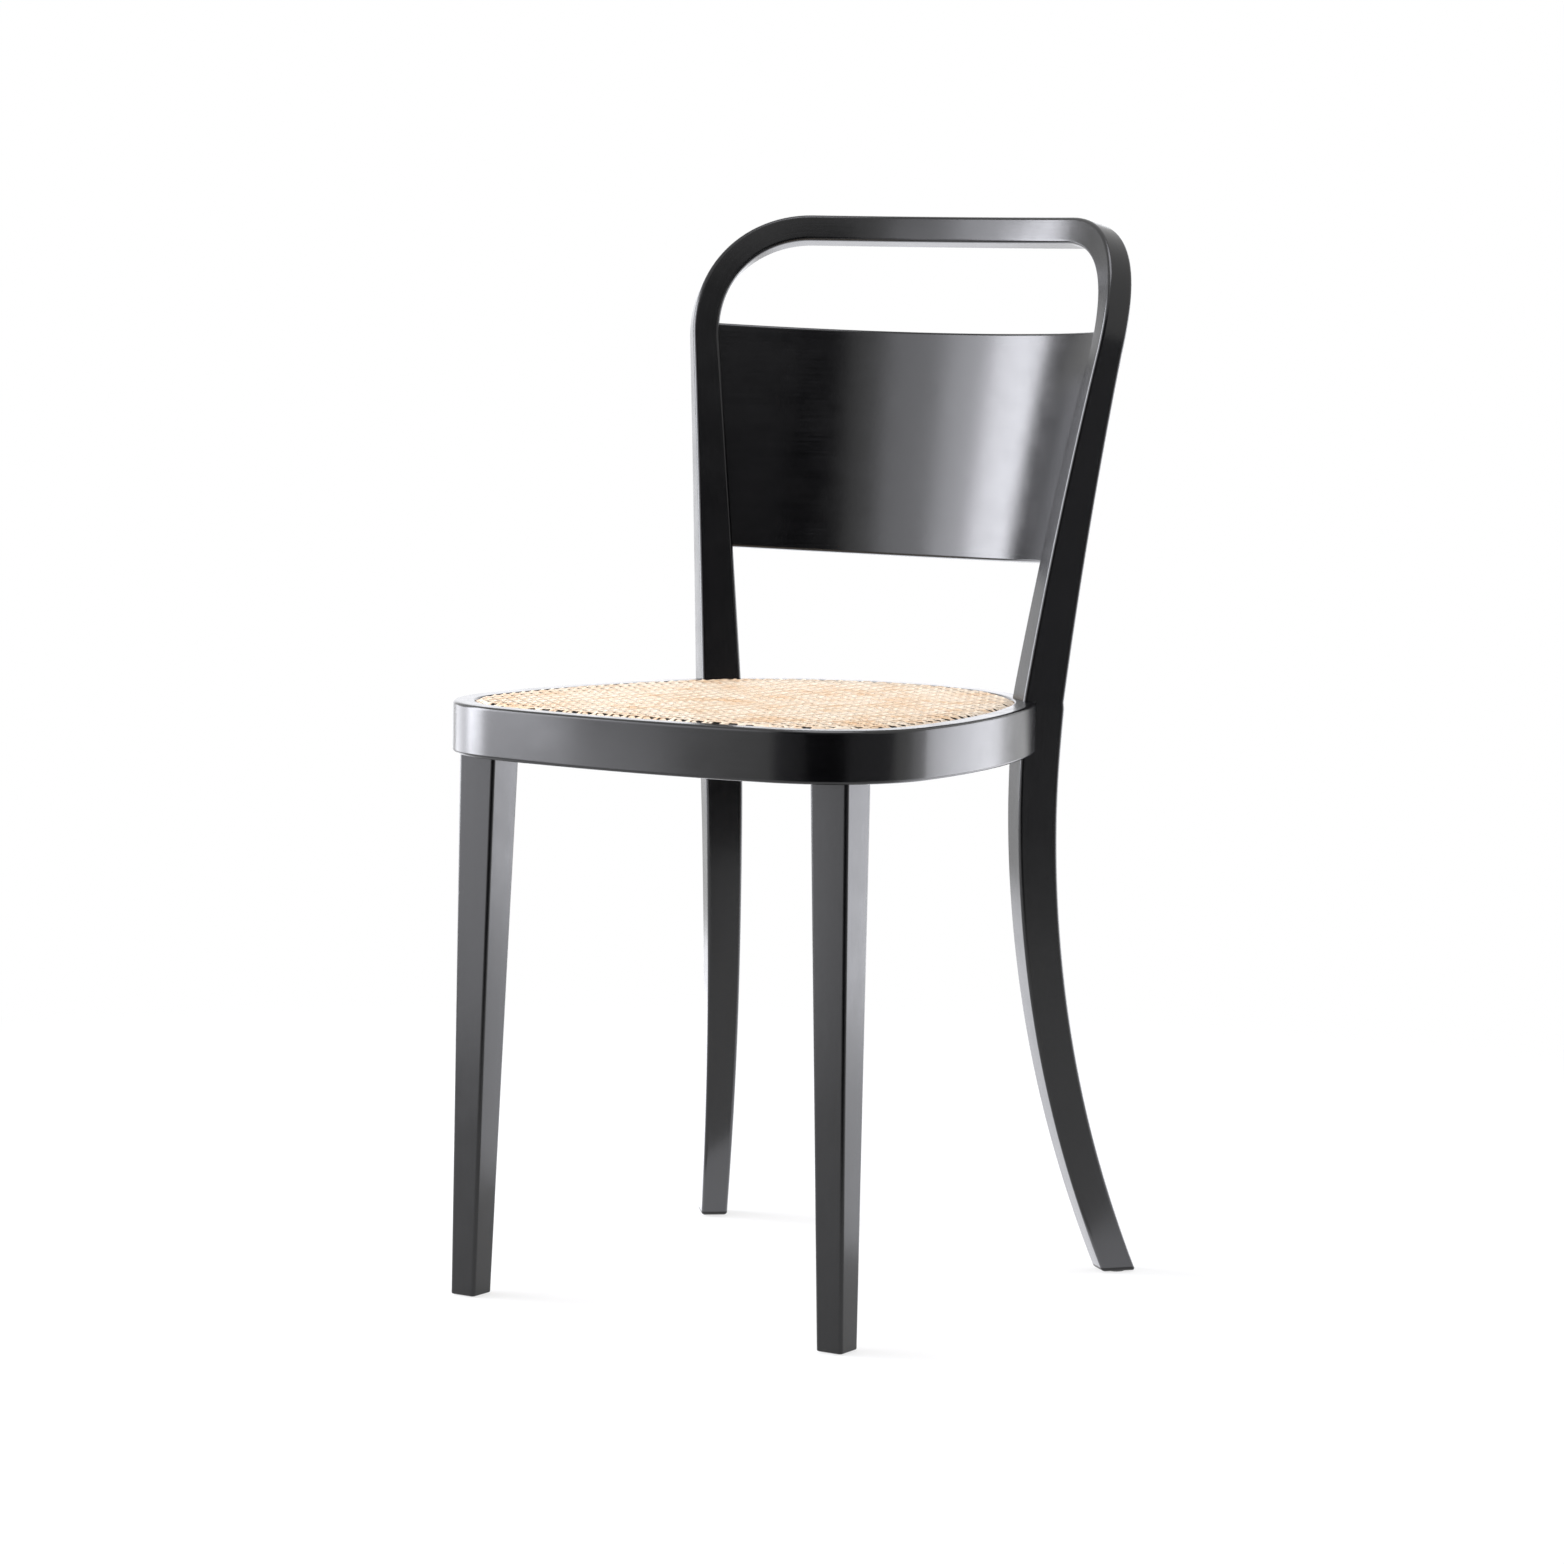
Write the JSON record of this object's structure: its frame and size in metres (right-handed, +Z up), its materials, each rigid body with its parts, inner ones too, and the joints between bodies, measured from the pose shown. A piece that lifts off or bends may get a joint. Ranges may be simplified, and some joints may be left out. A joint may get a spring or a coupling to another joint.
{
  "type": "bentwood bistro chair",
  "caption": "Bentwood side chair with a one-piece bent back hoop, a curved plywood back panel, a bent seat ring and a woven cane seat.",
  "frame": {"origin": "centre of the chair's width and depth, on the floor", "axes": "+Z up, the chair faces -Y, +X towards the viewer's right when the chair is seen from the front"},
  "size_m": [0.4226, 0.5052, 0.8498],
  "materials": {
    "lacquered_beech": "black satin lacquer on steam-bent beech",
    "lacquered_plywood": "black satin lacquer on moulded plywood",
    "plain_beech": "unfinished beech",
    "cane": "natural woven cane",
    "zinc_steel": "zinc-plated steel",
    "brass_insert": "plain brass",
    "nylon": "black nylon"
  },
  "bodies": {
    "root": {"back_hoop": "lacquered_beech", "back_panel": "lacquered_plywood", "seat_ring": "lacquered_beech", "seat_frame": "lacquered_beech", "cane_panel": "cane", "cane_spline": "cane", "front_leg_left": "lacquered_beech", "front_leg_right": "lacquered_beech", "front_block_left": "plain_beech", "front_block_right": "plain_beech", "front_block_screws": "zinc_steel", "leg_lock_screws": "zinc_steel", "rear_block_left": "plain_beech", "rear_block_right": "plain_beech", "rear_bolts": "zinc_steel", "rear_bolt_washers": "zinc_steel", "rear_inserts": "brass_insert", "rear_dowels": "plain_beech", "side_cleat_left": "plain_beech", "side_cleat_right": "plain_beech", "cleat_screws": "zinc_steel", "frame_screws": "zinc_steel", "leg_glides": "nylon", "glide_nails": "zinc_steel"}
  },
  "joints": []
}
